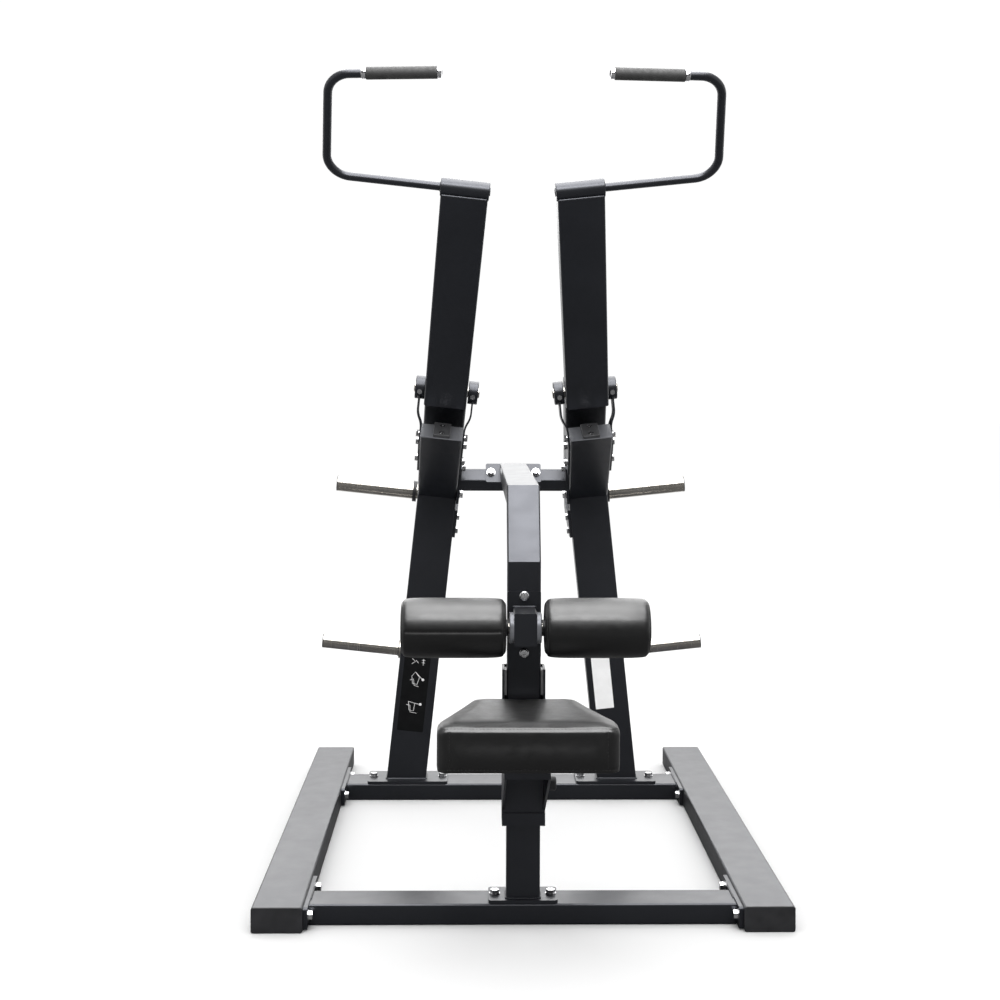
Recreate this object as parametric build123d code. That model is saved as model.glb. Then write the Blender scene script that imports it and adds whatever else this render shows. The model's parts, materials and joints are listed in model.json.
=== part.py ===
"""Plate-loaded lat pulldown machine with two independent lever arms.

Millimetres, +Z up, +X to the right seen from the front, front of the machine towards -Y.
Origin: centre of the footprint on the floor, the seat's overhang included. Depths are given as distances
behind the rails' front ends and turned into Y by depth_to_y.

Each side (main post, pivot, lever arm, handle, horns) is drawn flat in its own upright plane, with X as the
distance outboard of that plane, and is then leaned inwards by SIDE_LEAN and moved to SIDE_FOOT_X.
"""
import os
from math import atan2, cos, degrees, hypot, radians, sin, tan

from build123d import *

# ---- overall sizes -------------------------------------------------------------------------------------
BASE_LENGTH = 1520.0
BASE_WIDTH = 1270.0
SIDE_LEAN = 6.0  # degrees that each side plane leans inwards
SIDE_FOOT_X = 330.3  # where the side plane meets the floor

# ---- tube sections -------------------------------------------------------------------------------------
TUBE_W = 120.0  # wide face of the large tube
TUBE_D = 60.0  # narrow face of the large tube
WALL = 3.0
TUBE_R = 6.0  # outer corner radius
CROSS_H = 50.0
CENTRE_W = 80.0
CENTRE_D = 50.0
CROSSBAR = 50.0
PLATE = 8.0

# ---- base ----------------------------------------------------------------------------------------------
CAP_T = 4.0
CAP_PLUG = 22.0
FLANGE_T = 10.0
FRONT_CROSS = (50.0, 150.0)  # depth range of the front cross tube
REAR_CROSS = (1100.0, 1220.0)
FRONT_FLANGE = (14.0, 250.0)
REAR_FLANGE = (1030.0, 1290.0)
FLANGE_BOLT_INSET = 20.0
FLANGE_BOLT_Z = 30.0

# ---- main posts ----------------------------------------------------------------------------------------
POST_FRONT = 1130.0
KINK_HEIGHT = 930.0  # height along the side plane where the front face turns forwards
SHELF_LOW = (740.0, 1125.0)  # lower front edge of the gooseneck's end, (depth, height along the plane)
SHELF_HIGH = (806.0, 1159.0)
BASE_PLATE = (244.0, 124.0)
BASE_PLATE_X = 319.5
BASE_BOLT_SPACING = 212.0

# ---- pivots --------------------------------------------------------------------------------------------
PIVOT = (820.0, 1264.0)
AXLE_R = 15.0
AXLE_HALF = 94.0
BEARING_R = 26.0
BEARING_W = 15.0
HUB_R = 45.0
HUB_HALF = 58.0
HOUSING_R = 33.5
HOUSING = (62.0, 90.0)
CHEEK_T = 5.0
CHEEK_STEP = 14.0  # how far the cheek plate curves outboard to reach its housing
RUNNING = 0.05

# ---- lever arm -----------------------------------------------------------------------------------------
ARM_LEAN = 43.0  # forward lean of the front bar from upright
ARM_OFFSET = 43.6  # the bar's centre line passes this far in front of the pivot
SLEEVE_UP = 740.5  # pivot to handle sleeve, along the bar
SLEEVE_R = 24.0
SLEEVE_HALF = 62.0
LEVER_END = (1350.0, 923.0)  # loading horn's axis
LEVER_WALL = 4.0
LEVER_TAIL = 40.0

# ---- handle --------------------------------------------------------------------------------------------
HANDLE_R = 11.0
HANDLE_REACH = 350.0
HANDLE_RISE = 290.0
HANDLE_BEND = 60.0
HANDLE_TIP = 80.0
GRIP_R = 15.0
GRIP_LENGTH = 170.0
RING_LENGTH = 11.0
RING_R = 14.0

# ---- horns ---------------------------------------------------------------------------------------------
LOAD_HORN_R = 25.0
LOAD_HORN_TIP = 327.0
COLLAR = (70.0, 82.0)
COLLAR_R = 33.0
STORE_HORN_R = 21.5
STORE_HORN_TIP = 303.0
STORE_HEIGHT = 449.0
HORN_CAP = 12.0
HORN_WALL = 5.0

# ---- stops ---------------------------------------------------------------------------------------------
BUMPER_T = 9.4
BUMPER_W = 48.0
STOP_PLATE_T = 3.0
REAR_STOP_DEPTH = 1270.0
REAR_PAD_T = 12.0

# ---- centre post ---------------------------------------------------------------------------------------
CENTRE_FRONT = 65.0
BEND_LOW_Z = 856.0
BEND_HIGH = (150.0, 1032.0)
CENTRE_PLATE = (164.0, 96.0)
CENTRE_BOLT_SPACING = 134.0
CROSSBAR_AT = (1083.0, 981.0)
REAR_PLATE = (167.0, 74.0)
REAR_PLATE_BOLTS = 136.0

# ---- thigh rollers -------------------------------------------------------------------------------------
ROLLER_AXLE = (-15.0, 713.0)
ROLLER_AXLE_R = 12.5
ROLLER_R = 69.5
ROLLER = (42.0, 290.0)
ROLLER_CORE_R = 19.0
BRACKET_PLATE = (80.0, 6.0, 630.0, 787.0)  # width, thickness, lowest and highest Z
BRACKET_BOX = (53.0, 75.0)
BRACKET_NOSE = -48.0
ROLLER_DISC_R = 36.0
BRACKET_BOLTS = (641.0, 776.0)

# ---- seat ----------------------------------------------------------------------------------------------
CARRIAGE = (234.0, 603.0)
CARRIAGE_HALF_W = 51.0
CARRIAGE_WALL = 5.0
LINER_GAP = 0.3
SEAT_TOP = 537.0
SEAT_T = 100.0
SEAT_BOARD_T = 15.0
SEAT_BACK = 48.0
SEAT_FRONT = -262.0
SEAT_W_FRONT = 404.0
SEAT_W_BACK = 246.0
POP_PIN_Z = 324.0
POP_PIN_PITCH = 25.0
POP_PIN_PULL = 5.0

# ---- fasteners -----------------------------------------------------------------------------------------
BOLT_R = 6.0
HEX_AF = 19.0
HEX_H = 8.0
WASHER_R = 13.0
WASHER_T = 2.5

parts = {}


def depth_to_y(depth):
    return depth - (BASE_LENGTH + SEAT_FRONT) / 2


def save(name, *shapes):
    parts[name] = [solid for shape in shapes for solid in shape.solids()]


def block(x0, x1, y0, y1, z0, z1):
    return Pos((x0 + x1) / 2, (y0 + y1) / 2, (z0 + z1) / 2) * Box(x1 - x0, y1 - y0, z1 - z0)


def tube_run(start, direction, length, wide, deep, wall, radius=TUBE_R):
    """A rounded box tube from start along direction, with its wide side along X. Returns outer and inner."""
    plane = Plane(origin=start, x_dir=(1, 0, 0), z_dir=direction)
    outer = extrude(plane * RectangleRounded(wide, deep, radius), length)
    inner = extrude(plane * RectangleRounded(wide - 2 * wall, deep - 2 * wall, radius - wall), length)
    return outer, inner


def cylinder_x(x0, x1, y, z, radius):
    plane = Plane(origin=(x0, y, z), x_dir=(0, 1, 0), z_dir=(1, 0, 0))
    return extrude(plane * Circle(radius), x1 - x0)


def ring_x(x0, x1, y, z, outer, inner):
    return cylinder_x(x0, x1, y, z, outer) - cylinder_x(x0 - 1, x1 + 1, y, z, inner)


def profile_x(points, x0, x1):
    """A (y, z) outline extruded along X from x0 to x1."""
    face = make_face(Plane.YZ * Polyline(*points, close=True))
    return Pos(x0, 0, 0) * extrude(face, x1 - x0, dir=(1, 0, 0))


def hex_bolt(point, direction, stub):
    """A hexagon bolt with its washer, head outwards along direction, and a stub of shank inwards."""
    plane = Plane(origin=point, z_dir=direction)
    washer = extrude(plane * Circle(WASHER_R), WASHER_T)
    head = extrude(plane * RegularPolygon(HEX_AF / 2, 6, major_radius=False), WASHER_T + HEX_H)
    shank = extrude(plane * Circle(BOLT_R), -stub)
    return washer + head + shank


def bolt_hole(point, direction, depth):
    plane = Plane(origin=point, z_dir=direction)
    return extrude(plane * Circle(BOLT_R + 0.3), -depth)


def dome_screw(point, direction, radius, height, stub, shank_r):
    """A button-head screw with a hexagon socket."""
    plane = Plane(origin=point, z_dir=direction)
    head = extrude(plane * Circle(radius), height)
    top = head.edges().filter_by(GeomType.CIRCLE).sort_by(lambda e: (e.center() - Vector(*point)).length)[-1]
    head = fillet(top, height * 0.7)
    socket = extrude(plane.offset(height * 0.4) * RegularPolygon(radius * 0.36, 6), height)
    return head + extrude(plane * Circle(shank_r), -stub) - socket


def place_side(shape, sign):
    """Leans a part of the side plane inwards and moves it to the right (+1) or the left (-1) side."""
    placed = Location((SIDE_FOOT_X, 0, 0), (0, -SIDE_LEAN, 0)) * shape
    return placed if sign > 0 else mirror(placed, about=Plane.YZ)


# ---- base: rails, end caps and cross tubes -------------------------------------------------------------
def make_base():
    x_out, x_in = BASE_WIDTH / 2, BASE_WIDTH / 2 - TUBE_W
    x_mid = (x_out + x_in) / 2
    front, back = depth_to_y(CAP_T), depth_to_y(BASE_LENGTH - CAP_T)
    caps = []
    outer, inner = tube_run((x_mid, front, TUBE_D / 2), (0, 1, 0), back - front, TUBE_W, TUBE_D, WALL)
    rail = outer - inner
    flange_bolts = []
    for low, high in (FRONT_FLANGE, REAR_FLANGE):
        for depth in (low + FLANGE_BOLT_INSET, high - FLANGE_BOLT_INSET):
            flange_bolts.append((x_in - FLANGE_T, depth_to_y(depth), FLANGE_BOLT_Z))
    for point in flange_bolts:
        rail -= bolt_hole(point, (-1, 0, 0), FLANGE_T + 8)
    save("right_rail", rail)
    save("left_rail", mirror(rail, about=Plane.YZ))

    slack = 2 * WALL + 0.4
    for end, inward in ((front, 1), (back, -1)):
        plane = Plane(origin=(x_mid, end, TUBE_D / 2), x_dir=(1, 0, 0), z_dir=(0, -inward, 0))
        head = extrude(plane * RectangleRounded(TUBE_W, TUBE_D, TUBE_R), CAP_T)
        head = fillet(head.faces().sort_by(Axis.Y)[0 if inward > 0 else -1].edges(), 2.0)
        plug = extrude(plane * RectangleRounded(TUBE_W - slack, TUBE_D - slack, 2.5), -CAP_PLUG)
        hollow = extrude(plane * RectangleRounded(TUBE_W - slack - 6, TUBE_D - slack - 6, 1.0), -CAP_PLUG)
        cap = head + (plug - hollow)
        caps += [cap, mirror(cap, about=Plane.YZ)]
    save("rail_end_caps", *caps)

    half = x_in - FLANGE_T
    for name, cross, flange in (
        ("front_cross_tube", FRONT_CROSS, FRONT_FLANGE),
        ("rear_cross_tube", REAR_CROSS, REAR_FLANGE),
    ):
        y0, y1 = depth_to_y(cross[0]), depth_to_y(cross[1])
        plane = Plane(origin=(-half, (y0 + y1) / 2, CROSS_H / 2), x_dir=(0, 1, 0), z_dir=(1, 0, 0))
        outer = extrude(plane * RectangleRounded(y1 - y0, CROSS_H, TUBE_R), 2 * half)
        hollow = RectangleRounded(y1 - y0 - 2 * WALL, CROSS_H - 2 * WALL, TUBE_R - WALL)
        inner = extrude(plane * hollow, 2 * half)
        tube = outer - inner
        plate = block(half, x_in, depth_to_y(flange[0]), depth_to_y(flange[1]), 4.0, CROSS_H + 4)
        window = block(half - 1, x_in + 1, y0 + 22, y1 - 22, 14, 36)
        plate -= window
        plate = fillet(plate.edges().filter_by(Axis.X).sort_by(Axis.Z)[-2:], 8)
        for point in flange_bolts:
            plate -= bolt_hole(point, (-1, 0, 0), FLANGE_T + 2)
        tube = tube + plate + mirror(plate, about=Plane.YZ)
        tube -= base_bolt_holes(cross)
        save(name, tube)
    return [
        hex_bolt((sign * x, y, z), (-sign, 0, 0), FLANGE_T + 6)
        for sign in (1, -1)
        for x, y, z in flange_bolts
    ]


def base_bolt_points(cross):
    """Where the bolts of the plates standing on a cross tube go."""
    y = depth_to_y((cross[0] + cross[1]) / 2)
    top = CROSS_H + PLATE
    if cross == FRONT_CROSS:
        return [(sign * CENTRE_BOLT_SPACING / 2, y, top) for sign in (1, -1)]
    return [
        (side * (BASE_PLATE_X + end * BASE_BOLT_SPACING / 2), y, top) for side in (1, -1) for end in (1, -1)
    ]


def base_bolt_holes(cross):
    return [bolt_hole(point, (0, 0, 1), PLATE + WALL + 2) for point in base_bolt_points(cross)]


# ---- main posts ----------------------------------------------------------------------------------------
def gooseneck_slope():
    return (SHELF_LOW[1] - KINK_HEIGHT) / (POST_FRONT - SHELF_LOW[0])


def gooseneck_back_kink():
    """Height of the upper face of the gooseneck where it meets the post's back face."""
    slope = gooseneck_slope()
    return KINK_HEIGHT - slope * TUBE_D + TUBE_D * hypot(1, slope)


def make_main_post():
    y_front, y_back = depth_to_y(POST_FRONT), depth_to_y(POST_FRONT + TUBE_D)
    outline = [
        (y_front, 20.0),
        (y_front, KINK_HEIGHT),
        (depth_to_y(SHELF_LOW[0]), SHELF_LOW[1]),
        (depth_to_y(SHELF_HIGH[0]), SHELF_HIGH[1]),
        (y_back, gooseneck_back_kink()),
        (y_back, 20.0),
    ]
    outer = profile_x(outline, -TUBE_W / 2, TUBE_W / 2)
    rims = outer.edges().filter_by_position(Axis.X, TUBE_W / 2 - 0.1, TUBE_W / 2 + 0.1)
    rims += outer.edges().filter_by_position(Axis.X, -TUBE_W / 2 - 0.1, -TUBE_W / 2 + 0.1)
    outer = fillet(rims, TUBE_R - 1)
    face = offset(make_face(Plane.YZ * Polyline(*outline, close=True)), -WALL, kind=Kind.INTERSECTION)
    inner_half = TUBE_W / 2 - WALL
    inner = Pos(-inner_half, 0, 0) * extrude(face, 2 * inner_half, dir=(1, 0, 0))
    post = outer - inner
    for y, z in cheek_bolt_points():
        post -= cylinder_x(-TUBE_W / 2 - 1, TUBE_W / 2 + 1, y, z, 5.3)
    for y, z in crossbar_bolt_points():
        post -= cylinder_x(-TUBE_W / 2 - 1, -TUBE_W / 2 + 8, y, z, BOLT_R + 0.3)
    for point, direction in bumper_screw_points():
        post -= extrude(Plane(origin=point, z_dir=direction) * Circle(4.3), -14)
    placed = place_side(post, 1)
    floor = CROSS_H + PLATE
    placed -= block(0, BASE_WIDTH, -BASE_LENGTH, BASE_LENGTH, -200, floor)
    y_mid = depth_to_y((REAR_CROSS[0] + REAR_CROSS[1]) / 2)
    plate = Pos(BASE_PLATE_X, y_mid, CROSS_H + PLATE / 2) * Box(BASE_PLATE[0], BASE_PLATE[1], PLATE)
    plate = fillet(plate.edges().filter_by(Axis.Z), 10)
    plate -= base_bolt_holes(REAR_CROSS)
    plate -= Pos(BASE_PLATE_X, y_mid, CROSS_H) * Cylinder(10, 4 * PLATE)
    placed += plate
    save("right_main_post", placed)
    save("left_main_post", mirror(placed, about=Plane.YZ))


# ---- cheek plates, axles and bumpers -------------------------------------------------------------------
def cheek_bolt_points():
    """Bolts through the cheek plates' feet: y and height in the side plane."""
    return [(depth_to_y(depth), height) for depth, height in ((812, 1132), (866, 1108), (934, 1056))]


def make_cheeks():
    py, pz = depth_to_y(PIVOT[0]), PIVOT[1]
    slope = gooseneck_slope()
    x_foot = TUBE_W / 2 + CHEEK_T / 2
    x_head = x_foot + CHEEK_STEP
    foot_low = SHELF_LOW[1] - slope * (965.0 - SHELF_LOW[0]) + 4
    bend_low, bend_high = 1146.0, 1204.0
    # seen from the front the plate stands flat on the gooseneck, curves outboard and meets the housing
    middle = ((x_foot + x_head) / 2, (bend_low + bend_high) / 2)
    foot = Line((x_foot, foot_low), (x_foot, bend_low))
    lower = TangentArc((x_foot, bend_low), middle, tangent=(0, 1))
    upper = TangentArc(middle, (x_head, bend_high), tangent=lower % 1)
    head = Line((x_head, bend_high), (x_head, pz))
    section = trace(foot + lower + upper + head, CHEEK_T)
    sheet = extrude(Plane.XZ.offset(-depth_to_y(740)) * section, -280)
    # seen from the side it has a wide foot along the gooseneck and narrows to the housing
    outline = [
        (depth_to_y(838), foot_low + 66),
        (depth_to_y(965), foot_low),
        (depth_to_y(965), foot_low + 52),
        (py + 34, 1172),
        (py + 24, bend_high),
        (py + 24, pz),
        (py - 24, pz),
        (py - 28, bend_high),
        (depth_to_y(792), 1150),
        (depth_to_y(792), 1110),
    ]
    web = sheet & profile_x(outline, 0, 200)
    housing = cylinder_x(HOUSING[0], HOUSING[1], py, pz, HOUSING_R)
    housing = fillet(housing.edges().filter_by(GeomType.CIRCLE), 2.5)
    cheek = web + housing - cylinder_x(0, 200, py, pz, AXLE_R)
    for y, z in cheek_bolt_points():
        cheek -= cylinder_x(0, 200, y, z, 5.3)
    # a clamp screw in the front of each housing, a little below its middle
    tilt = radians(20)
    clamp = Plane(
        origin=((HOUSING[0] + HOUSING[1]) / 2, py - HOUSING_R * cos(tilt), pz - HOUSING_R * sin(tilt)),
        z_dir=(0, -cos(tilt), -sin(tilt)),
    )
    clamp_shank = extrude(clamp * Circle(4), -8)
    cheek -= clamp_shank
    clamp_screw = clamp_shank + extrude(clamp * RegularPolygon(6.5, 6, major_radius=False), 6)
    inner_cheek = mirror(cheek, about=Plane.YZ)
    save("right_outer_cheek", place_side(cheek, 1))
    save("left_outer_cheek", place_side(cheek, -1))
    save("right_inner_cheek", place_side(inner_cheek, 1))
    save("left_inner_cheek", place_side(inner_cheek, -1))

    bolts = [clamp_screw, mirror(clamp_screw, about=Plane.YZ)]
    for y, z in cheek_bolt_points():
        for end in (1, -1):
            point = (end * (TUBE_W / 2 + CHEEK_T), y, z)
            plane = Plane(origin=point, z_dir=(end, 0, 0))
            bolt = extrude(plane * Circle(10), 2)
            bolt += extrude(plane * RegularPolygon(8.5, 6, major_radius=False), 9)
            bolt += extrude(plane * Circle(5), -(CHEEK_T + 6))
            bolts.append(bolt)
    save("cheek_bolts", *[place_side(b, sign) for b in bolts for sign in (1, -1)])

    for sign, name in ((1, "right"), (-1, "left")):
        axle = cylinder_x(-AXLE_HALF, AXLE_HALF, py, pz, AXLE_R)
        axle = chamfer(axle.edges().filter_by(GeomType.CIRCLE), 2)
        save(name + "_pivot_axle", place_side(axle, sign))
        rings = []
        for end in (1, -1):
            x0, x1 = sorted((end * (HUB_HALF - BEARING_W), end * HUB_HALF))
            rings.append(ring_x(x0, x1, py, pz, BEARING_R, AXLE_R + RUNNING))
        save(name + "_pivot_bearings", *[place_side(r, sign) for r in rings])


def shelf_frame():
    """Centre, direction up the slope and outward normal of the gooseneck's end face."""
    run, rise = SHELF_HIGH[0] - SHELF_LOW[0], SHELF_HIGH[1] - SHELF_LOW[1]
    length = hypot(run, rise)
    centre = (depth_to_y((SHELF_LOW[0] + SHELF_HIGH[0]) / 2), (SHELF_LOW[1] + SHELF_HIGH[1]) / 2)
    return centre, (run / length, rise / length), (-rise / length, run / length), length


def bumper_screw_points():
    centre, along, normal, length = shelf_frame()
    points = []
    for step in (-21.0, 21.0):
        y = centre[0] + step * along[0]
        z = centre[1] + step * along[1]
        points.append(((0, y, z), (0, normal[0], normal[1])))
    return points


def make_bumpers():
    centre, along, normal, length = shelf_frame()
    end_face = Plane(origin=(0, centre[0], centre[1]), x_dir=(1, 0, 0), z_dir=(0, normal[0], normal[1]))
    stop_plate = extrude(end_face * RectangleRounded(TUBE_W, length, 4), STOP_PLATE_T)
    plane = end_face.offset(STOP_PLATE_T)
    pad = extrude(plane * RectangleRounded(BUMPER_W, length - 2, 3), BUMPER_T)
    pad = fillet(pad.faces().sort_by(Axis.Z)[-1].edges(), 1.5)
    screws = []
    sink = STOP_PLATE_T + BUMPER_T - 5
    for point, direction in bumper_screw_points():
        base = Plane(origin=point, z_dir=direction)
        pad -= extrude(base.offset(sink) * Circle(8.2), BUMPER_T)
        pad -= extrude(base * Circle(4.3), STOP_PLATE_T + BUMPER_T)
        stop_plate -= extrude(base * Circle(4.3), STOP_PLATE_T + 1)
        seat = base.offset(sink).origin
        screws.append(dome_screw((seat.X, seat.Y, seat.Z), direction, 7.5, 4, sink + 10, 4))
    save("stop_plates", *[place_side(stop_plate, sign) for sign in (1, -1)])
    save("stop_bumpers", *[place_side(pad, sign) for sign in (1, -1)])
    save("bumper_screws", *[place_side(s, sign) for s in screws for sign in (1, -1)])


# ---- rear stops ----------------------------------------------------------------------------------------
def lever_slope():
    return (PIVOT[1] - LEVER_END[1]) / (LEVER_END[0] - PIVOT[0])


def make_rear_stops():
    slope = lever_slope()
    under = PIVOT[1] - slope * (REAR_STOP_DEPTH - PIVOT[0]) - TUBE_D / 2 * hypot(1, slope)
    angle = atan2(-slope, 1)
    y_stop = depth_to_y(REAR_STOP_DEPTH)
    tilt = (0, -sin(angle), cos(angle))
    pad_top = Plane(origin=(0, y_stop, under - 0.6), x_dir=(1, 0, 0), z_dir=tilt)
    pad = extrude(pad_top * RectangleRounded(70, 40, 4), -REAR_PAD_T)
    shelf = extrude(pad_top.offset(-REAR_PAD_T) * RectangleRounded(TUBE_W, 50, 3), -PLATE)
    inner_face = -TUBE_W / 2
    outline = [
        (depth_to_y(POST_FRONT + 6), 811),
        (depth_to_y(POST_FRONT + 6), 895),
        (depth_to_y(POST_FRONT + TUBE_D), 895),
        (y_stop - 24, under - 8),
        (y_stop + 26, under - 38),
        (y_stop + 26, under - 62),
        (depth_to_y(POST_FRONT + TUBE_D), 811),
    ]
    web = profile_x(outline, inner_face - PLATE, inner_face)
    rear_edge = POST_FRONT + TUBE_D
    gusset_outline = [
        (depth_to_y(rear_edge), 830),
        (depth_to_y(rear_edge), under + 40),
        (y_stop + 16, under + 40),
        (y_stop + 16, under - 42),
    ]
    gusset = profile_x(gusset_outline, -4, 4)
    below = extrude(pad_top.offset(-REAR_PAD_T) * Rectangle(400, 400), 300)
    bracket = (web - below) + shelf + (gusset - below)
    bolts = []
    for height in (832.0, 874.0):
        y = depth_to_y(POST_FRONT + 30)
        bracket -= cylinder_x(inner_face - PLATE - 1, inner_face + 1, y, height, 5.3)
        plane = Plane(origin=(inner_face - PLATE, y, height), z_dir=(-1, 0, 0))
        bolt = extrude(plane * RegularPolygon(8.5, 6, major_radius=False), 7)
        bolts.append(bolt + extrude(plane * Circle(5), -PLATE))
    save("rear_stop_brackets", *[place_side(bracket, sign) for sign in (1, -1)])
    save("rear_stop_pads", *[place_side(pad, sign) for sign in (1, -1)])
    save("rear_stop_bolts", *[place_side(b, sign) for b in bolts for sign in (1, -1)])


# ---- lever arms ----------------------------------------------------------------------------------------
def arm_directions():
    lean = radians(ARM_LEAN)
    along = (-sin(lean), cos(lean))
    behind = (cos(lean), sin(lean))
    return along, behind


def sleeve_centre():
    along, behind = arm_directions()
    y = depth_to_y(PIVOT[0]) + SLEEVE_UP * along[0] - ARM_OFFSET * behind[0]
    z = PIVOT[1] + SLEEVE_UP * along[1] - ARM_OFFSET * behind[1]
    return y, z


def make_lever_arms():
    along, behind = arm_directions()
    py, pz = depth_to_y(PIVOT[0]), PIVOT[1]
    sy, sz = sleeve_centre()
    start = (0, py - ARM_OFFSET * behind[0], pz - ARM_OFFSET * behind[1])
    outer, inner = tube_run(start, (0, along[0], along[1]), SLEEVE_UP, TUBE_W, TUBE_D, WALL)
    heel, _ = tube_run(start, (0, along[0], along[1]), WALL, TUBE_W, TUBE_D, WALL)
    up = (0, along[0], along[1])
    top = Plane(origin=(0, sy - along[0] * 8, sz - along[1] * 8), x_dir=(1, 0, 0), z_dir=up)
    bar = (outer - inner) + heel - extrude(top * Rectangle(400, 400), 200)

    horn_y, horn_z = depth_to_y(LEVER_END[0]), LEVER_END[1]
    reach = hypot(horn_y - py, horn_z - pz)
    back = ((horn_y - py) / reach, (horn_z - pz) / reach)
    length = reach + LEVER_TAIL
    outer, inner = tube_run((0, py, pz), (0, back[0], back[1]), length, TUBE_W, TUBE_D, LEVER_WALL)
    tail = Plane(origin=(0, py + back[0] * length, pz + back[1] * length),
                 x_dir=(1, 0, 0), z_dir=(0, back[0], back[1]))
    lever = (outer - inner) + extrude(tail * RectangleRounded(TUBE_W, TUBE_D, TUBE_R), -LEVER_WALL)

    hub = cylinder_x(-HUB_HALF, HUB_HALF, py, pz, HUB_R)
    hub_room = cylinder_x(-TUBE_W, TUBE_W, py, pz, HUB_R)
    sleeve = cylinder_x(-SLEEVE_HALF, SLEEVE_HALF, sy, sz, SLEEVE_R)
    sleeve = fillet(sleeve.edges().filter_by(GeomType.CIRCLE), 2)
    arm = (bar - hub_room) + (lever - hub_room) + hub + sleeve
    arm -= cylinder_x(-200, 200, py, pz, AXLE_R + 4)
    for end in (1, -1):
        x0, x1 = sorted((end * (HUB_HALF - BEARING_W), end * (HUB_HALF + 5)))
        arm -= cylinder_x(x0, x1, py, pz, BEARING_R)
    arm -= cylinder_x(-SLEEVE_HALF + 6, SLEEVE_HALF - 6, sy, sz, SLEEVE_R - 4)
    arm -= cylinder_x(-SLEEVE_HALF - 1, SLEEVE_HALF + 1, sy, sz, HANDLE_R + 0.1)
    # vents of the closed tubes, on their rear faces
    vent_y, vent_z = py + along[0] * 640 - 13 * behind[0], pz + along[1] * 640 - 13 * behind[1]
    vent = Plane(origin=(0, vent_y, vent_z), z_dir=(0, behind[0], behind[1]))
    arm -= extrude(vent * Circle(5), 16, both=True)
    arm -= extrude(tail * Circle(5), -10)

    collar = ring_x(COLLAR[0], COLLAR[1], horn_y, horn_z, COLLAR_R, LOAD_HORN_R - 1)
    collar = fillet(collar.edges().filter_by(GeomType.CIRCLE).sort_by(Axis.X)[-1], 1.5)
    horn = cylinder_x(COLLAR[1], LOAD_HORN_TIP - 3, horn_y, horn_z, LOAD_HORN_R)
    horn += cylinder_x(TUBE_W / 2, COLLAR[1], horn_y, horn_z, LOAD_HORN_R - 1)
    horn -= cylinder_x(TUBE_W / 2 - 1, LOAD_HORN_TIP, horn_y, horn_z, LOAD_HORN_R - HORN_WALL)
    cap = cylinder_x(LOAD_HORN_TIP - 3, LOAD_HORN_TIP, horn_y, horn_z, LOAD_HORN_R)
    cap = fillet(cap.edges().filter_by(GeomType.CIRCLE).sort_by(Axis.X)[-1], 2)
    cap += cylinder_x(LOAD_HORN_TIP - 22, LOAD_HORN_TIP - 3, horn_y, horn_z, LOAD_HORN_R - HORN_WALL - 0.2)

    for sign, name in ((1, "right"), (-1, "left")):
        save(name + "_lever_arm", place_side(arm, sign))
        save(name + "_loading_horn", place_side(horn, sign))
        save(name + "_horn_collar", place_side(collar, sign))
        save(name + "_horn_cap", place_side(cap, sign))


def make_handles():
    along, _ = arm_directions()
    sy, sz = sleeve_centre()
    lean = radians(SIDE_LEAN)
    # the upper leg is level, so it drops towards the outside of the leaning plane
    top_drop = tan(lean) / cos(radians(ARM_LEAN))
    tip_rise = HANDLE_RISE + top_drop * (HANDLE_REACH - HANDLE_TIP)

    def on_plane(outboard, rise):
        return Vector(outboard, sy + along[0] * rise, sz + along[1] * rise)

    corners = [
        on_plane(-SLEEVE_HALF - 2, 0),
        on_plane(HANDLE_REACH, 0),
        on_plane(HANDLE_REACH, HANDLE_RISE),
        on_plane(HANDLE_TIP, tip_rise),
    ]
    path = FilletPolyline(*corners, radius=HANDLE_BEND)
    start = Plane(origin=corners[0], z_dir=(1, 0, 0))
    tube = sweep(start * Circle(HANDLE_R), path=path)
    bore = sweep(start * Circle(HANDLE_R - 2), path=path)
    handle = tube - bore

    inward = (corners[3] - corners[2]).normalized()
    ring_end = corners[3]
    grip_start = ring_end - inward * RING_LENGTH
    grip_end = grip_start - inward * GRIP_LENGTH
    grip_plane = Plane(origin=grip_end, z_dir=inward)
    grip = extrude(grip_plane * Circle(GRIP_R), GRIP_LENGTH)
    grip = fillet(grip.edges().filter_by(GeomType.CIRCLE), 1.2)
    grip -= extrude(grip_plane * Circle(HANDLE_R), GRIP_LENGTH)
    rings = []
    for origin in (grip_start, grip_end - inward * RING_LENGTH):
        plane = Plane(origin=origin, z_dir=inward)
        ring = extrude(plane * Circle(RING_R), RING_LENGTH)
        ring = fillet(ring.edges().filter_by(GeomType.CIRCLE), 1.5)
        rings.append(ring - extrude(plane * Circle(HANDLE_R), RING_LENGTH))
    for sign, name in ((1, "right"), (-1, "left")):
        save(name + "_handle", place_side(handle, sign))
        save(name + "_grip", place_side(grip, sign))
        save(name + "_grip_rings", *[place_side(r, sign) for r in rings])


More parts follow.
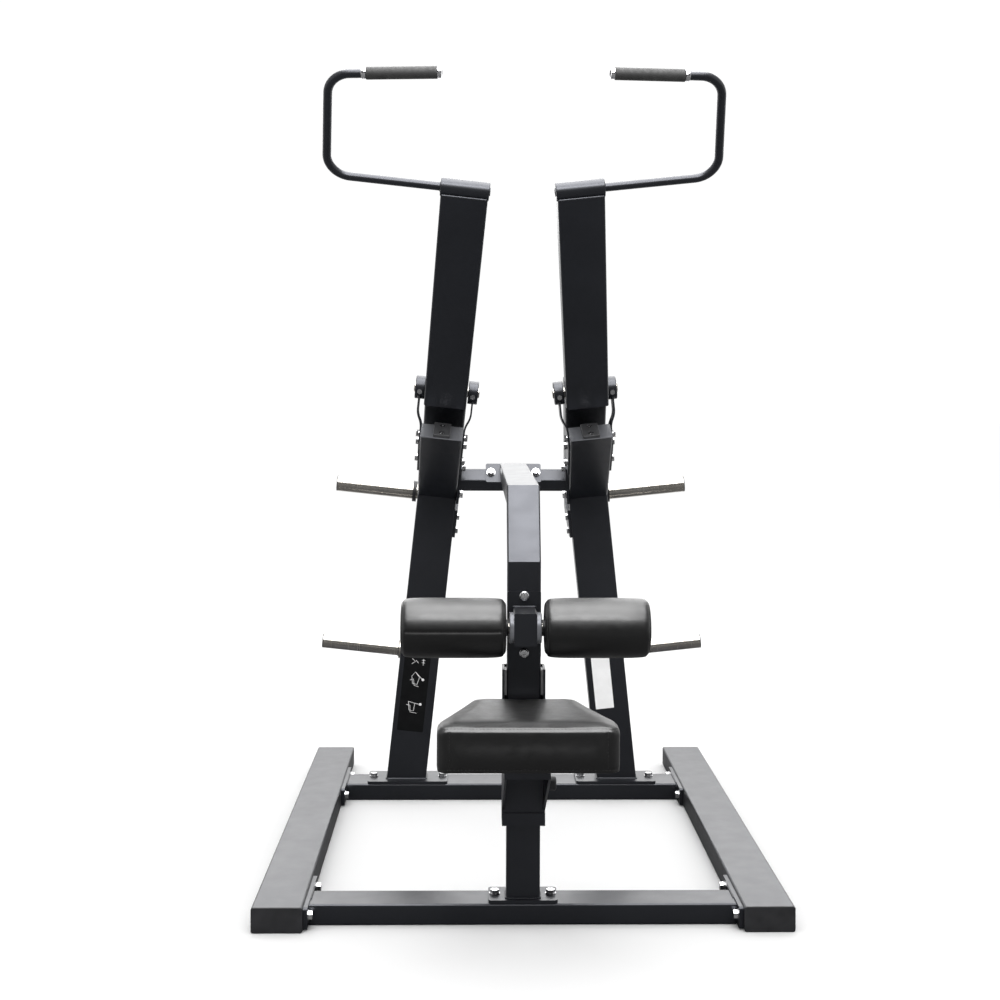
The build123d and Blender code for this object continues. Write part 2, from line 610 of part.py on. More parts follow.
# ---- storage horns -------------------------------------------------------------------------------------
def make_storage_horns():
    y = depth_to_y(POST_FRONT + TUBE_D / 2)
    face = TUBE_W / 2
    flange = cylinder_x(face, face + 6, y, STORE_HEIGHT, 29)
    flange = fillet(flange.edges().filter_by(GeomType.CIRCLE).sort_by(Axis.X)[-1], 1.5)
    tube = cylinder_x(face, STORE_HORN_TIP - 3, y, STORE_HEIGHT, STORE_HORN_R)
    bore = cylinder_x(face - 1, STORE_HORN_TIP, y, STORE_HEIGHT, STORE_HORN_R - 3)
    horn = flange + tube - bore
    cap = cylinder_x(STORE_HORN_TIP - 3, STORE_HORN_TIP, y, STORE_HEIGHT, STORE_HORN_R)
    cap = fillet(cap.edges().filter_by(GeomType.CIRCLE).sort_by(Axis.X)[-1], 2)
    cap += cylinder_x(STORE_HORN_TIP - 20, STORE_HORN_TIP - 3, y, STORE_HEIGHT, STORE_HORN_R - 3.2)
    save("storage_horns", *[place_side(horn, sign) for sign in (1, -1)])
    save("storage_horn_caps", *[place_side(cap, sign) for sign in (1, -1)])


# ---- upper crossbar ------------------------------------------------------------------------------------
def crossbar_bolt_points():
    """Bolts of the crossbar's end flanges, as depth Y and height in the side plane."""
    y, z = depth_to_y(CROSSBAR_AT[0]), CROSSBAR_AT[1] / cos(radians(SIDE_LEAN)) + 4
    reach = 62 * cos(radians(45))
    return [(y - reach, z + reach), (y + reach, z - reach)]


def make_crossbar():
    y, z = depth_to_y(CROSSBAR_AT[0]), CROSSBAR_AT[1]
    slanted = Plane(origin=(0, y, z), x_dir=(0, cos(radians(45)), sin(radians(45))), z_dir=(1, 0, 0))
    outer = extrude(slanted * RectangleRounded(CROSSBAR, CROSSBAR, 5), 170, both=True)
    inner = extrude(slanted * RectangleRounded(CROSSBAR - 6, CROSSBAR - 6, 2), 170, both=True)
    face = -TUBE_W / 2
    height = z / cos(radians(SIDE_LEAN)) + 4
    rearward = (0, -cos(radians(45)), sin(radians(45)))
    plate_plane = Plane(origin=(face, y, height), x_dir=rearward, z_dir=(-1, 0, 0))
    plate = extrude(plate_plane * RectangleRounded(164, 56, 8), PLATE)
    for by, bz in crossbar_bolt_points():
        plate -= cylinder_x(face - PLATE - 1, face + 1, by, bz, BOLT_R + 0.3)
    keep = place_side(extrude(plate_plane.offset(PLATE / 2) * Rectangle(900, 900), 1200), 1)
    bar = (outer - inner) & keep & mirror(keep, about=Plane.YZ)
    for x in (-REAR_PLATE_BOLTS / 2, REAR_PLATE_BOLTS / 2):
        point, direction = rear_plate_bolt(x)
        bar -= bolt_hole(point, direction, PLATE + 12)
    placed = place_side(plate, 1)
    vent = Pos(0, y, z - 30) * Cylinder(5, 30)
    bar = bar + placed + mirror(placed, about=Plane.YZ) - vent
    save("upper_crossbar", bar)
    bolts = []
    for by, bz in crossbar_bolt_points():
        bolt = hex_bolt((face - PLATE, by, bz), (-1, 0, 0), PLATE + 5)
        bolts += [place_side(bolt, sign) for sign in (1, -1)]
    return bolts


def rear_plate_plane():
    """Outer surface of the centre post's rear plate, which lies on the crossbar's upper front face."""
    step = (CROSSBAR / 2 + PLATE) * cos(radians(45))
    y, z = depth_to_y(CROSSBAR_AT[0]) - step, CROSSBAR_AT[1] + step
    return Plane(origin=(0, y, z), x_dir=(1, 0, 0), z_dir=(0, -cos(radians(45)), sin(radians(45))))


def rear_plate_bolt(x):
    plane = rear_plate_plane()
    return (x, plane.origin.Y, plane.origin.Z), (0, plane.z_dir.Y, plane.z_dir.Z)


# ---- centre post ---------------------------------------------------------------------------------------
def make_centre_post():
    front = depth_to_y(CENTRE_FRONT)
    back = front + CENTRE_D
    high_y, high_z = depth_to_y(BEND_HIGH[0]), BEND_HIGH[1]
    slope = atan2(high_y - front, high_z - BEND_LOW_Z)
    # the inner (rear and lower) corners follow from the same depth of tube on each run
    low_inner = BEND_LOW_Z - CENTRE_D * tan(slope / 2)
    high_inner_y = high_y + CENTRE_D * tan((radians(90) - slope) / 2)
    plate_plane = rear_plate_plane()
    reach = plate_plane.origin.Y + (high_z - plate_plane.origin.Z)
    reach_low = plate_plane.origin.Y + (high_z - CENTRE_D - plate_plane.origin.Z)
    base = CROSS_H + PLATE
    outline = [
        (front, base),
        (front, BEND_LOW_Z),
        (high_y, high_z),
        (reach, high_z),
        (reach_low, high_z - CENTRE_D),
        (high_inner_y, high_z - CENTRE_D),
        (back, low_inner),
        (back, base),
    ]
    outer = profile_x(outline, -CENTRE_W / 2, CENTRE_W / 2)
    rims = outer.edges().filter_by_position(Axis.X, CENTRE_W / 2 - 0.1, CENTRE_W / 2 + 0.1)
    rims += outer.edges().filter_by_position(Axis.X, -CENTRE_W / 2 - 0.1, -CENTRE_W / 2 + 0.1)
    outer = fillet(rims, 4)
    face = offset(make_face(Plane.YZ * Polyline(*outline, close=True)), -WALL, kind=Kind.INTERSECTION)
    half = CENTRE_W / 2 - WALL
    inner = Pos(-half, 0, 0) * extrude(face, 2 * half, dir=(1, 0, 0))
    y_mid = depth_to_y((FRONT_CROSS[0] + FRONT_CROSS[1]) / 2)
    foot = Pos(0, y_mid, CROSS_H + PLATE / 2) * Box(CENTRE_PLATE[0], CENTRE_PLATE[1], PLATE)
    foot = fillet(foot.edges().filter_by(Axis.Z), 8)
    foot -= base_bolt_holes(FRONT_CROSS)
    rear = extrude(plate_plane * RectangleRounded(REAR_PLATE[0], REAR_PLATE[1], 6), -PLATE)
    post = (outer - inner) + foot + rear
    for x in (-REAR_PLATE_BOLTS / 2, REAR_PLATE_BOLTS / 2):
        point, direction = rear_plate_bolt(x)
        post -= bolt_hole(point, direction, PLATE + 1)
    for z in BRACKET_BOLTS:
        post -= extrude(Plane(origin=(0, front, z), z_dir=(0, -1, 0)) * Circle(BOLT_R + 0.3), 10, both=True)
    # the row of holes for the pop-pin, in the right face
    for step in range(-6, 2):
        hole_z = POP_PIN_Z + POP_PIN_PITCH * step
        post -= cylinder_x(CENTRE_W / 2 - 6, CENTRE_W / 2 + 1, (front + back) / 2, hole_z, 6.2)
    save("centre_post", post)
    bolts = []
    for x in (-REAR_PLATE_BOLTS / 2, REAR_PLATE_BOLTS / 2):
        point, direction = rear_plate_bolt(x)
        bolts.append(hex_bolt(point, direction, PLATE + 8))
    for cross in (FRONT_CROSS, REAR_CROSS):
        for point in base_bolt_points(cross):
            bolts.append(hex_bolt(point, (0, 0, 1), PLATE + WALL))
    return bolts


# ---- thigh rollers -------------------------------------------------------------------------------------
def make_rollers():
    front = depth_to_y(CENTRE_FRONT)
    width, thick, low, high = BRACKET_PLATE
    axle_y, axle_z = depth_to_y(ROLLER_AXLE[0]), ROLLER_AXLE[1]
    plate = block(-width / 2, width / 2, front - thick, front, low, high)
    plate = fillet(plate.edges().filter_by(Axis.Y), 4)
    box_w, box_h = BRACKET_BOX
    nose = depth_to_y(BRACKET_NOSE)
    box_length = front - thick - nose
    plane = Plane(origin=(0, nose, axle_z), x_dir=(1, 0, 0), z_dir=(0, 1, 0))
    outer = extrude(plane * RectangleRounded(box_w, box_h, 4), box_length)
    inner = extrude(plane.offset(3) * RectangleRounded(box_w - 6, box_h - 6, 1.5), box_length - 3)
    disc = cylinder_x(box_w / 2, ROLLER[0] - 4.5, axle_y, axle_z, ROLLER_DISC_R)
    disc = fillet(disc.edges().filter_by(GeomType.CIRCLE).sort_by(Axis.X)[-1], 3)
    disc -= cylinder_x(0, ROLLER[0], axle_y, axle_z, ROLLER_AXLE_R)
    save("roller_discs", disc, mirror(disc, about=Plane.YZ))
    bracket = plate + (outer - inner)
    bracket -= cylinder_x(-60, 60, axle_y, axle_z, ROLLER_AXLE_R)
    for z in BRACKET_BOLTS:
        bracket -= extrude(Plane(origin=(0, front, z), z_dir=(0, -1, 0)) * Circle(BOLT_R + 0.3), 20)
    bracket -= Pos(0, nose + box_length / 2, axle_z - box_h / 2) * Cylinder(5, 20)
    save("roller_bracket", bracket)
    screws = [dome_screw((0, front - thick, z), (0, -1, 0), 12, 7, thick + 8, BOLT_R) for z in BRACKET_BOLTS]
    save("roller_bracket_bolts", *screws)
    save("roller_axle", cylinder_x(-ROLLER[1] + 8, ROLLER[1] - 8, axle_y, axle_z, ROLLER_AXLE_R))

    caps = []
    for sign, name in ((1, "right"), (-1, "left")):
        core = ring_x(ROLLER[0] - 3, ROLLER[1] - 9, axle_y, axle_z, ROLLER_CORE_R, ROLLER_AXLE_R + RUNNING)
        pad = ring_x(ROLLER[0], ROLLER[1], axle_y, axle_z, ROLLER_R, ROLLER_CORE_R + 0.3)
        pad -= cylinder_x(ROLLER[1] - 9, ROLLER[1] + 1, axle_y, axle_z, 27)
        rims = pad.edges().filter_by(GeomType.CIRCLE).sort_by(lambda e: e.radius)[-2:]
        pad = fillet(rims, 14)
        cap = cylinder_x(ROLLER[1] - 8, ROLLER[1] - 3, axle_y, axle_z, 25)
        cap = fillet(cap.edges().filter_by(GeomType.CIRCLE).sort_by(Axis.X)[-1], 2.5)
        if sign < 0:
            core, pad, cap = (mirror(s, about=Plane.YZ) for s in (core, pad, cap))
        save(name + "_roller_core", core)
        save(name + "_roller_pad", pad)
        caps.append(cap)
    save("roller_end_caps", *caps)


# ---- seat ----------------------------------------------------------------------------------------------
def make_seat():
    front = depth_to_y(CENTRE_FRONT)
    back = front + CENTRE_D
    mid = (front + back) / 2
    low, high = CARRIAGE
    wall = CARRIAGE_WALL
    liner = CARRIAGE_HALF_W - wall - CENTRE_W / 2 - LINER_GAP
    half_w, half_d = CARRIAGE_HALF_W, CENTRE_D / 2 + liner + LINER_GAP + wall
    outer = block(-half_w, half_w, mid - half_d, mid + half_d, low, high)
    outer = fillet(outer.edges().filter_by(Axis.Z), 4)
    inner = block(-half_w + wall, half_w - wall, mid - half_d + wall, mid + half_d - wall, low - 1, high + 1)
    board_low = SEAT_TOP - SEAT_T
    face = mid - half_d
    open_front = block(-half_w + wall, half_w - wall, face - 1, face + wall + 1, board_low + 4, high + 1)
    strap = block(-half_w, half_w, face - 3, face, low, low + 30)
    sleeve = outer - inner - open_front + strap

    # the side plates run forwards under the board as two gussets, joined by a saddle and a front lip
    seat_front, seat_back = depth_to_y(SEAT_FRONT), depth_to_y(SEAT_BACK)
    arm_front, arm_back = seat_front + 60, face + 1
    gusset_outline = [
        (arm_back, low + 36), (arm_back, board_low), (arm_front, board_low), (arm_front, board_low - 26),
    ]
    gusset = profile_x(gusset_outline, half_w - wall, half_w)
    lip = block(-half_w, half_w, arm_front, arm_front + wall, board_low - 26, board_low)
    saddle = block(-90, 90, arm_front, arm_back - 8, board_low - 5, board_low)
    saddle = fillet(saddle.edges().filter_by(Axis.Z), 10)
    seat_arm = gusset + mirror(gusset, about=Plane.YZ) + lip + saddle
    bolt_spots = [(x, y) for x in (-70, 70) for y in (arm_front + 35, arm_back - 60)]
    for x, y in bolt_spots:
        seat_arm -= Pos(x, y, board_low) * Cylinder(4.3, 40)
    barrel_hole = cylinder_x(half_w - wall - 1, half_w + 1, mid, POP_PIN_Z, 10)
    save("seat_carriage", sleeve + seat_arm - barrel_hole)

    liners = []
    for z0, z1 in ((low + 4, low + 64), (high - 64, high - 4)):
        for side in (1, -1):
            x0, x1 = sorted((side * (CENTRE_W / 2 + LINER_GAP), side * (half_w - wall)))
            liners.append(block(x0, x1, mid - 19, mid + 19, z0, z1))
        for side in (1, -1) if z0 < board_low - 60 else (1,):
            y0, y1 = sorted((mid + side * (CENTRE_D / 2 + LINER_GAP), mid + side * (half_d - wall)))
            liners.append(block(-32, 32, y0, y1, z0, z1))
    save("seat_slide_liners", *liners)

    def seat_outline(inset):
        return [
            (-SEAT_W_FRONT / 2 + inset, seat_front + inset),
            (SEAT_W_FRONT / 2 - inset, seat_front + inset),
            (SEAT_W_FRONT / 2 - inset, seat_front + 70),
            (SEAT_W_BACK / 2 - inset, seat_back - inset),
            (-SEAT_W_BACK / 2 + inset, seat_back - inset),
            (-SEAT_W_FRONT / 2 + inset, seat_front + 70),
        ]

    board = extrude(Pos(0, 0, board_low) * make_face(Polyline(*seat_outline(14), close=True)), SEAT_BOARD_T)
    board = fillet(board.edges().filter_by(Axis.Z), 16)
    for x, y in bolt_spots:
        board -= Pos(x, y, board_low) * Cylinder(4.3, 24)
    plan = make_face(Polyline(*seat_outline(0), close=True))
    pad = extrude(Pos(0, 0, board_low + 0.3) * plan, SEAT_T - 0.3)
    pad = fillet(pad.edges().filter_by(Axis.Z), 24)
    pad = fillet(pad.faces().sort_by(Axis.Z)[-1].edges(), 13)
    pocket = make_face(Polyline(*seat_outline(13.7), close=True))
    pocket = extrude(Pos(0, 0, board_low) * pocket, SEAT_BOARD_T + 0.3)
    pad -= fillet(pocket.edges().filter_by(Axis.Z), 16)
    save("seat_board", board)
    save("seat_pad", pad)
    seat_bolts = []
    for x, y in bolt_spots:
        plane = Plane(origin=(x, y, board_low - 5), z_dir=(0, 0, -1))
        bolt = extrude(plane * Circle(9), 1.6)
        bolt += extrude(plane * RegularPolygon(6.5, 6, major_radius=False), 7)
        seat_bolts.append(bolt + extrude(plane * Circle(4), -16))
    save("seat_bolts", *seat_bolts)

    # pop-pin, drawn pulled clear of the post: a barrel screwed into the carriage, the plunger through it, and
    # a knob on the plunger's outer end that slides over the barrel
    barrel = ring_x(half_w, half_w + 6.5, mid, POP_PIN_Z, 12.5, 7.2)
    barrel += ring_x(half_w - wall, half_w, mid, POP_PIN_Z, 9.9, 7.2)
    save("pop_pin_barrel", barrel)
    plunger = cylinder_x(CENTRE_W / 2 + 0.4, half_w + 22, mid, POP_PIN_Z, 6)
    save("pop_pin_plunger", plunger)
    inner_end = half_w + 1 + POP_PIN_PULL
    knob = cylinder_x(inner_end, half_w + 28, mid, POP_PIN_Z, 16.5)
    knob = fillet(knob.edges().filter_by(GeomType.CIRCLE).sort_by(Axis.X)[-1], 5)
    knob -= cylinder_x(inner_end - 1, inner_end + 8, mid, POP_PIN_Z, 13.5)
    knob -= cylinder_x(inner_end, half_w + 22, mid, POP_PIN_Z, 6)
    save("pop_pin_knob", knob)


# ---- placard and label ---------------------------------------------------------------------------------
def make_stickers():
    y = depth_to_y(POST_FRONT)
    placard = block(-35, 45, y - 0.6, y, 205, 436)
    placard = fillet(placard.edges().filter_by(Axis.Y), 4)
    label = block(-42, 14, y - 0.4, y, 277, 440)
    label = fillet(label.edges().filter_by(Axis.Y), 2)
    save("exercise_placard", place_side(placard, -1))
    save("blank_label", place_side(label, 1))


def main():
    frame_bolts = make_base()
    make_main_post()
    make_cheeks()
    make_bumpers()
    make_rear_stops()
    make_lever_arms()
    make_handles()
    make_storage_horns()
    frame_bolts += make_crossbar()
    frame_bolts += make_centre_post()
    save("frame_bolts", *frame_bolts)
    make_rollers()
    make_seat()
    make_stickers()
    os.makedirs("parts", exist_ok=True)
    for name, solids in parts.items():
        shape = solids[0] if len(solids) == 1 else Compound(children=solids)
        export_step(shape, f"parts/{name}.step")


main()
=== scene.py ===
import json
from math import cos, exp, pi, radians, sin

import bmesh
import bpy
from mathutils import Matrix, Vector
from mathutils.bvhtree import BVHTree
from mathutils.kdtree import KDTree


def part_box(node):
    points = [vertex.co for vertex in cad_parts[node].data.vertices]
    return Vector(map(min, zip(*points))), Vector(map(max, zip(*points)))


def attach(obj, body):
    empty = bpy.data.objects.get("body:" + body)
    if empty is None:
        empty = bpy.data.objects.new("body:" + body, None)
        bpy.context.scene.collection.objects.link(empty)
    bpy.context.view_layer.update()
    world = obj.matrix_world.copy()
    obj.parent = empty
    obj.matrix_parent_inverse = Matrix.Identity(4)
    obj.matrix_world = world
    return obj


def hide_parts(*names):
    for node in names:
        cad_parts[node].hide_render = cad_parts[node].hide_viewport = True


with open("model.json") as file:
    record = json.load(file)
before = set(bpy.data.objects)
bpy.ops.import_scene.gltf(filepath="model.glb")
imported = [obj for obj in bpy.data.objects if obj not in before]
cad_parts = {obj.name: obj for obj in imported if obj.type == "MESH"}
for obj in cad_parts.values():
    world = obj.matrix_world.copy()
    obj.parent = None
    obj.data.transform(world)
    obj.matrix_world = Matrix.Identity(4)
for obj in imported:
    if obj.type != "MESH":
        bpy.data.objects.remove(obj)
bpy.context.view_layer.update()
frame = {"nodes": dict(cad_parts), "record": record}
nodes = frame["nodes"]
scene = bpy.context.scene

FLOOR_HALF = 40  # metres, as are all lengths here
CARD_HALF, CARD_FRONT = 7, -6.5  # half width of the dark cards, and where they stand in front
VOXEL = 0.005  # remeshing size of the pads
PAD_INSET = 0.003  # how much smaller a pad is before it swells
SEAM_WIDTH = 0.003
SEAM_STEP = 0.002  # distance between the points of a seam's path
PLAIN = (0.0, 1.0)  # ripple of a bead without waves
WELD_RIPPLE = (0.28, 0.0062)  # depth, as a part of the radius, and length of a weld's waves
SIDE_LEAN = radians(6.0)  # both side frames lean toward each other
POST_FRONT = 0.501  # y of the main posts' front face
CENTRE_POST_FRONT = -0.564
PROUD = 0.0005  # how far a bead's centre line stands off the tube


# ---- camera, light and floor ---------------------------------------------------------------------
def make_camera():
    """A level camera in front of the machine, turned and tipped a little as in the photograph."""
    place = (-0.1225, -4.1178, 1.2911)
    yaw, roll = radians(1.02), radians(0.21)
    forward = Vector((sin(yaw), cos(yaw), 0))
    right = Vector((cos(yaw), -sin(yaw), 0))
    up = right.cross(forward)
    tilted_right = right * cos(roll) + up * sin(roll)
    tilted_up = up * cos(roll) - right * sin(roll)
    data = bpy.data.cameras.new("camera")
    data.lens = 54.0
    data.sensor_width = 36.0
    data.shift_y = -0.1218
    data.clip_end = 60
    camera = bpy.data.objects.new("camera", data)
    turn = Matrix((tilted_right, tilted_up, -forward)).transposed()
    camera.matrix_world = Matrix.Translation(place) @ turn.to_4x4()
    scene.collection.objects.link(camera)
    scene.camera = camera


def area_light(name, place, target, size, power):
    """A soft panel that shows as gloss on the object, and leaves the even ambient light as it is."""
    data = bpy.data.lights.new(name, "AREA")
    data.shape = "RECTANGLE"
    data.size, data.size_y = size
    data.energy = power
    light = bpy.data.objects.new(name, data)
    light.location = place
    light.rotation_euler = (Vector(target) - Vector(place)).to_track_quat("-Z", "Y").to_euler()
    light.visible_camera = False
    light.visible_diffuse = False
    scene.collection.objects.link(light)
    return light


def flag(name, corners, grey):
    """A dark card that is seen only in the object's gloss, and casts no shadow."""
    card = plane(name, corners, simple_material(name, (grey, grey, grey), 1.0))
    card.visible_camera = False
    card.visible_diffuse = False
    card.visible_shadow = False


def plane(name, corners, material):
    mesh = bpy.data.meshes.new(name)
    mesh.from_pydata(corners, [], [(0, 1, 2, 3)])
    card = bpy.data.objects.new(name, mesh)
    card.data.materials.append(material)
    scene.collection.objects.link(card)
    return card


def upright_card(y, low, high):
    return [(-CARD_HALF, y, low), (CARD_HALF, y, low), (CARD_HALF, y, high), (-CARD_HALF, y, high)]


def flat_card(front, back, height, half):
    return [(-half, front, height), (half, front, height), (half, back, height), (-half, back, height)]


def make_studio():
    world = bpy.data.worlds.new("studio")
    world.use_nodes = True
    background = world.node_tree.nodes["Background"]
    background.inputs["Color"].default_value = (1.0, 1.0, 1.0, 1)
    background.inputs["Strength"].default_value = 1.04
    scene.world = world
    scene.view_settings.view_transform = "Standard"
    floor = simple_material("studio_floor", (0.97, 0.97, 0.97), 1.0)
    floor.node_tree.nodes["Principled BSDF"].inputs["Specular IOR Level"].default_value = 0
    plane("floor", flat_card(-FLOOR_HALF, FLOOR_HALF, 0, FLOOR_HALF), floor)
    flag("front_flag", upright_card(CARD_FRONT, 0.3, 7), 0.05)
    flag("floor_flag", flat_card(CARD_FRONT, 1.6, 0.001, CARD_HALF), 0.16)
    fill = area_light("overhead_fill", (0, 0.5, 5.5), (0, 0.5, 0), (6, 6), 110)
    fill.visible_diffuse, fill.visible_glossy = True, False
    area_light("back_panel", (0, 6.5, 4.3), (0, 0, 0.9), (9, 4.6), 400)
    area_light("front_softbox", (0, -3.3, 3.85), (0, -0.5, 0.95), (2.4, 1.2), 225)
    area_light("top_softbox", (0, -0.9, 4.3), (0, -0.6, 0.9), (3.0, 2.8), 300)
    area_light("rear_softbox", (0, 1.7, 4.3), (0, 0.3, 1.1), (3.0, 2.0), 120)


def simple_material(name, color, roughness):
    material = bpy.data.materials.new(name)
    material.use_nodes = True
    shader = material.node_tree.nodes["Principled BSDF"]
    shader.inputs["Base Color"].default_value = (*color, 1)
    shader.inputs["Roughness"].default_value = roughness
    return material


# ---- materials -----------------------------------------------------------------------------------
class Recipe:
    """A procedural material, with its patterns in the row frame so that they keep their real size."""

    def __init__(self, name):
        self.material = bpy.data.materials.new(name)
        self.material.use_nodes = True
        self.tree = self.material.node_tree
        self.shader = self.tree.nodes["Principled BSDF"]
        self.coords = self.tree.nodes.new("ShaderNodeTexCoord").outputs["Object"]
        self.normal = None

    def set(self, **values):
        for key, value in values.items():
            socket = self.shader.inputs[key.replace("_", " ")]
            socket.default_value = (*value, 1) if isinstance(value, tuple) else value
        return self

    def stretched(self, scale):
        mapping = self.tree.nodes.new("ShaderNodeMapping")
        mapping.inputs["Scale"].default_value = scale
        self.tree.links.new(self.coords, mapping.inputs["Vector"])
        return mapping.outputs["Vector"]

    def noise(self, scale, detail=3.0, roughness=0.5, vector=None):
        node = self.tree.nodes.new("ShaderNodeTexNoise")
        node.inputs["Scale"].default_value = scale
        node.inputs["Detail"].default_value = detail
        node.inputs["Roughness"].default_value = roughness
        self.tree.links.new(vector or self.coords, node.inputs["Vector"])
        return node.outputs["Fac"]

    def cells(self, scale):
        node = self.tree.nodes.new("ShaderNodeTexVoronoi")
        node.feature = "DISTANCE_TO_EDGE"
        node.inputs["Scale"].default_value = scale
        self.tree.links.new(self.coords, node.inputs["Vector"])
        return node.outputs["Distance"]

    def ramp(self, value, stops):
        node = self.tree.nodes.new("ShaderNodeValToRGB")
        elements = node.color_ramp.elements
        while len(elements) < len(stops):
            elements.new(0.5)
        for element, (position, color) in zip(elements, stops):
            element.position = position
            element.color = (*color, 1) if isinstance(color, tuple) else (color, color, color, 1)
        self.tree.links.new(value, node.inputs["Fac"])
        return node.outputs["Color"]

    def feed(self, key, output):
        self.tree.links.new(output, self.shader.inputs[key.replace("_", " ")])
        return self

    def bump(self, height, strength, distance):
        node = self.tree.nodes.new("ShaderNodeBump")
        node.inputs["Strength"].default_value = strength
        node.inputs["Distance"].default_value = distance
        self.tree.links.new(height, node.inputs["Height"])
        if self.normal:
            self.tree.links.new(self.normal, node.inputs["Normal"])
        self.normal = node.outputs["Normal"]
        self.tree.links.new(self.normal, self.shader.inputs["Normal"])
        return self


def powder_coat(name, dark, light):
    recipe = Recipe(name).set(Specular_IOR_Level=0.45, Specular_Tint=(0.90, 0.92, 1.0))
    recipe.feed("Base_Color", recipe.ramp(recipe.noise(5, 4), [(0.3, dark), (0.7, light)]))
    recipe.feed("Roughness", recipe.ramp(recipe.noise(22, 5), [(0.25, 0.33), (0.75, 0.39)]))
    recipe.bump(recipe.noise(420, 2), 0.16, 0.0004)
    return recipe.bump(recipe.noise(1500, 2), 0.22, 0.00012).material


def moulded_plastic(name, dark, light, roughness=0.5, specular=0.4):
    recipe = Recipe(name).set(Specular_IOR_Level=specular)
    recipe.feed("Base_Color", recipe.ramp(recipe.noise(30, 3), [(0.3, dark), (0.7, light)]))
    handling = recipe.noise(60, 3)
    recipe.feed("Roughness", recipe.ramp(handling, [(0.3, roughness - 0.07), (0.7, roughness + 0.07)]))
    return recipe.bump(recipe.cells(900), 0.25, 0.0002).material


def turned_steel(name, color, roughness):
    recipe = Recipe(name).set(Metallic=1.0)
    lines = recipe.noise(1, 4, 0.6, recipe.stretched((900, 6, 6)))
    smudges = recipe.noise(16, 4)
    worn = tuple(c * 0.86 for c in color)
    recipe.feed("Base_Color", recipe.ramp(smudges, [(0.3, worn), (0.65, color)]))
    recipe.feed("Roughness", recipe.ramp(lines, [(0.3, roughness - 0.02), (0.7, roughness + 0.04)]))
    return recipe.bump(lines, 0.03, 0.00001).material


def plated_steel(name, color, roughness):
    recipe = Recipe(name).set(Metallic=1.0)
    dull = tuple(c * 0.78 for c in color)
    recipe.feed("Base_Color", recipe.ramp(recipe.noise(90, 3), [(0.3, dull), (0.6, color)]))
    marks = recipe.noise(220, 3)
    recipe.feed("Roughness", recipe.ramp(marks, [(0.3, roughness - 0.05), (0.7, roughness + 0.08)]))
    return recipe.bump(recipe.noise(700, 2), 0.08, 0.0002).material


def vinyl(name):
    recipe = Recipe(name).set(Specular_IOR_Level=0.5)
    dark, light = (0.0018, 0.0018, 0.0021), (0.0028, 0.0028, 0.0032)
    recipe.feed("Base_Color", recipe.ramp(recipe.noise(9, 4), [(0.3, dark), (0.7, light)]))
    recipe.feed("Roughness", recipe.ramp(recipe.noise(45, 5), [(0.3, 0.35), (0.7, 0.42)]))
    recipe.bump(recipe.noise(28, 4), 0.22, 0.0015)
    return recipe.bump(recipe.cells(620), 0.5, 0.00025).material


def rubber(name, dark, light, roughness, scale):
    recipe = Recipe(name)
    recipe.feed("Base_Color", recipe.ramp(recipe.noise(40, 4), [(0.3, dark), (0.7, light)]))
    wear = recipe.noise(120, 3)
    recipe.feed("Roughness", recipe.ramp(wear, [(0.3, roughness - 0.08), (0.7, roughness + 0.06)]))
    return recipe.bump(recipe.noise(scale, 3), 0.5, 0.0005).material


def plywood(name):
    recipe = Recipe(name)
    grain = recipe.noise(1, 5, 0.6, recipe.stretched((18, 160, 160)))
    dark, light = (0.018, 0.017, 0.016), (0.035, 0.032, 0.029)
    recipe.feed("Base_Color", recipe.ramp(grain, [(0.3, dark), (0.7, light)]))
    recipe.set(Roughness=0.7)
    return recipe.bump(grain, 0.3, 0.0005).material


MATERIALS = {
    "frame_coat": powder_coat(
        "frame_coat_satin", (0.0062, 0.0070, 0.0092), (0.0090, 0.0100, 0.0130),
    ),
    "black_plastic": moulded_plastic(
        "black_plastic_grain", (0.014, 0.014, 0.016), (0.022, 0.022, 0.025), 0.5, 0.3,
    ),
    "liner_plastic": moulded_plastic(
        "liner_plastic_grain", (0.30, 0.30, 0.31), (0.36, 0.36, 0.37), 0.42,
    ),
    "bolt_steel": plated_steel("bolt_steel_bright", (0.6, 0.6, 0.61), 0.2),
    "horn_steel": turned_steel("horn_steel_polished", (0.47, 0.445, 0.41), 0.24),
    "bearing_steel": plated_steel("bearing_steel_ground", (0.6, 0.6, 0.62), 0.3),
    "ring_chrome": plated_steel("ring_chrome_polished", (0.85, 0.85, 0.87), 0.1),
    "black_rubber": rubber(
        "black_rubber_matt", (0.014, 0.014, 0.014), (0.024, 0.024, 0.024), 0.72, 500,
    ),
    "black_vinyl": vinyl("black_vinyl_grain"),
    "board_wood": plywood("board_wood_black"),
    "placard": moulded_plastic(
        "placard_sheet", (0.0030, 0.0033, 0.0040), (0.0045, 0.0050, 0.0058), 0.42, 0.15,
    ),
    # Stop plates: a light grey copy of the frame coat, partly the plates' own paint and partly painted
    # highlight for the overhead glare on the shelf.
    "grey_plate": powder_coat("stop_plate_satin_painted_highlight", (0.13, 0.134, 0.146), (0.17, 0.174, 0.186)),
    "grey_rubber": rubber(
        "grey_rubber_matt", (0.026, 0.027, 0.030), (0.042, 0.043, 0.047), 0.6, 500,
    ),
    "white_label": moulded_plastic(
        "white_label_sheet", (0.88, 0.88, 0.88), (0.94, 0.94, 0.94), 0.45,
    ),
}


